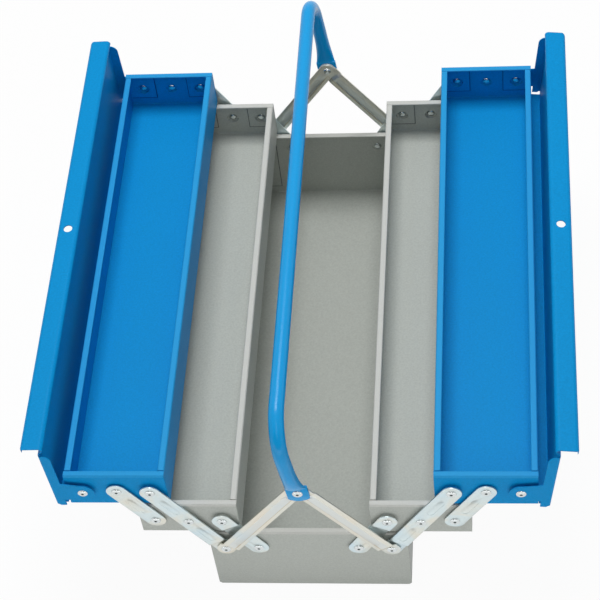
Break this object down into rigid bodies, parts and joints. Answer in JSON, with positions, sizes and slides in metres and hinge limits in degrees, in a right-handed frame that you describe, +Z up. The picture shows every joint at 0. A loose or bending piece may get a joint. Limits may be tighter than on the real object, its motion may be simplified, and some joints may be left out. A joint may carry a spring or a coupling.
{
  "type": "cantilever tool box",
  "caption": "Folded sheet steel cantilever tool box with a deep bin, paired trays on parallel links, hinged lids and a tubular carry handle.",
  "frame": {"origin": "middle of the bin's underside, on the surface that the box stands on", "axes": "+X across the box, +Y along it, +Z up; the handle's grip lies along Y"},
  "size_m": [0.5159, 0.584, 0.3047],
  "materials": {
    "grey_paint": "satin",
    "blue_paint": "satin",
    "zinc_plate": "satin",
    "rivet_steel": "satin"
  },
  "bodies": {
    "bin": {"bin": "grey_paint", "bin_rivets": "rivet_steel", "front_left_handle_stay": "zinc_plate", "front_right_handle_stay": "zinc_plate", "rear_left_handle_stay": "zinc_plate", "rear_right_handle_stay": "zinc_plate", "handle_rivets": "rivet_steel"},
    "handle": {"carry_handle": "blue_paint"},
    "left_long_links": {"front_left_long_link": "zinc_plate", "rear_left_long_link": "zinc_plate"},
    "left_lower_links": {"front_left_lower_link": "zinc_plate", "rear_left_lower_link": "zinc_plate"},
    "left_upper_links": {"front_left_upper_link": "zinc_plate", "rear_left_upper_link": "zinc_plate"},
    "left_middle_tray": {"left_middle_tray": "grey_paint", "left_middle_tray_rivets": "rivet_steel"},
    "left_top_tray": {"left_top_tray": "blue_paint", "left_top_tray_rivets": "rivet_steel"},
    "left_lid": {"left_lid": "blue_paint"},
    "right_long_links": {"front_right_long_link": "zinc_plate", "rear_right_long_link": "zinc_plate"},
    "right_lower_links": {"front_right_lower_link": "zinc_plate", "rear_right_lower_link": "zinc_plate"},
    "right_upper_links": {"front_right_upper_link": "zinc_plate", "rear_right_upper_link": "zinc_plate"},
    "right_middle_tray": {"right_middle_tray": "grey_paint", "right_middle_tray_rivets": "rivet_steel"},
    "right_top_tray": {"right_top_tray": "blue_paint", "right_top_tray_rivets": "rivet_steel"},
    "right_lid": {"right_lid": "blue_paint"}
  },
  "joints": [
    {"name": "left_fold", "type": "hinge", "parent": "bin", "child": "left_long_links", "pos_m": [-0.082, 0, 0.077], "axis": [0, 1, 0], "range_deg": [0, 63.77]},
    {"name": "left_middle_tray_pivot", "type": "hinge", "parent": "left_long_links", "child": "left_middle_tray", "pos_m": [-0.1125, 0, 0.12824], "axis": [0, 1, 0], "range_deg": [-63.77, 0]},
    {"name": "left_top_tray_pivot", "type": "hinge", "parent": "left_long_links", "child": "left_top_tray", "pos_m": [-0.143, 0, 0.17949], "axis": [0, 1, 0], "range_deg": [-63.77, 0]},
    {"name": "left_lower_link_pivot", "type": "hinge", "parent": "bin", "child": "left_lower_links", "pos_m": [-0.0495, 0, 0.077], "axis": [0, 1, 0], "range_deg": [0, 63.77]},
    {"name": "left_upper_link_pivot", "type": "hinge", "parent": "left_middle_tray", "child": "left_upper_links", "pos_m": [-0.145, 0, 0.12824], "axis": [0, 1, 0], "range_deg": [0, 63.77]},
    {"name": "left_lid_hinge", "type": "hinge", "parent": "left_top_tray", "child": "left_lid", "pos_m": [-0.208, 0, 0.17949], "axis": [0, 1, 0], "range_deg": [-4, 92]},
    {"name": "right_fold", "type": "hinge", "parent": "bin", "child": "right_long_links", "pos_m": [0.082, 0, 0.077], "axis": [0, -1, 0], "range_deg": [0, 63.77]},
    {"name": "right_middle_tray_pivot", "type": "hinge", "parent": "right_long_links", "child": "right_middle_tray", "pos_m": [0.1125, 0, 0.12824], "axis": [0, -1, 0], "range_deg": [-63.77, 0]},
    {"name": "right_top_tray_pivot", "type": "hinge", "parent": "right_long_links", "child": "right_top_tray", "pos_m": [0.143, 0, 0.17949], "axis": [0, -1, 0], "range_deg": [-63.77, 0]},
    {"name": "right_lower_link_pivot", "type": "hinge", "parent": "bin", "child": "right_lower_links", "pos_m": [0.0495, 0, 0.077], "axis": [0, -1, 0], "range_deg": [0, 63.77]},
    {"name": "right_upper_link_pivot", "type": "hinge", "parent": "right_middle_tray", "child": "right_upper_links", "pos_m": [0.145, 0, 0.12824], "axis": [0, -1, 0], "range_deg": [0, 63.77]},
    {"name": "right_lid_hinge", "type": "hinge", "parent": "right_top_tray", "child": "right_lid", "pos_m": [0.208, 0, 0.17949], "axis": [0, -1, 0], "range_deg": [0, 96]},
    {"name": "handle_swing", "type": "hinge", "parent": "bin", "child": "handle", "pos_m": [0, 0, 0.193], "axis": [0, 1, 0], "range_deg": [-64, 76]}
  ],
  "couplings": [
    {"joint": "left_middle_tray_pivot", "follows": "left_fold", "ratio": -1},
    {"joint": "left_top_tray_pivot", "follows": "left_fold", "ratio": -1},
    {"joint": "left_lower_link_pivot", "follows": "left_fold", "ratio": 1},
    {"joint": "left_upper_link_pivot", "follows": "left_fold", "ratio": 1},
    {"joint": "right_middle_tray_pivot", "follows": "right_fold", "ratio": -1},
    {"joint": "right_top_tray_pivot", "follows": "right_fold", "ratio": -1},
    {"joint": "right_lower_link_pivot", "follows": "right_fold", "ratio": 1},
    {"joint": "right_upper_link_pivot", "follows": "right_fold", "ratio": 1}
  ]
}
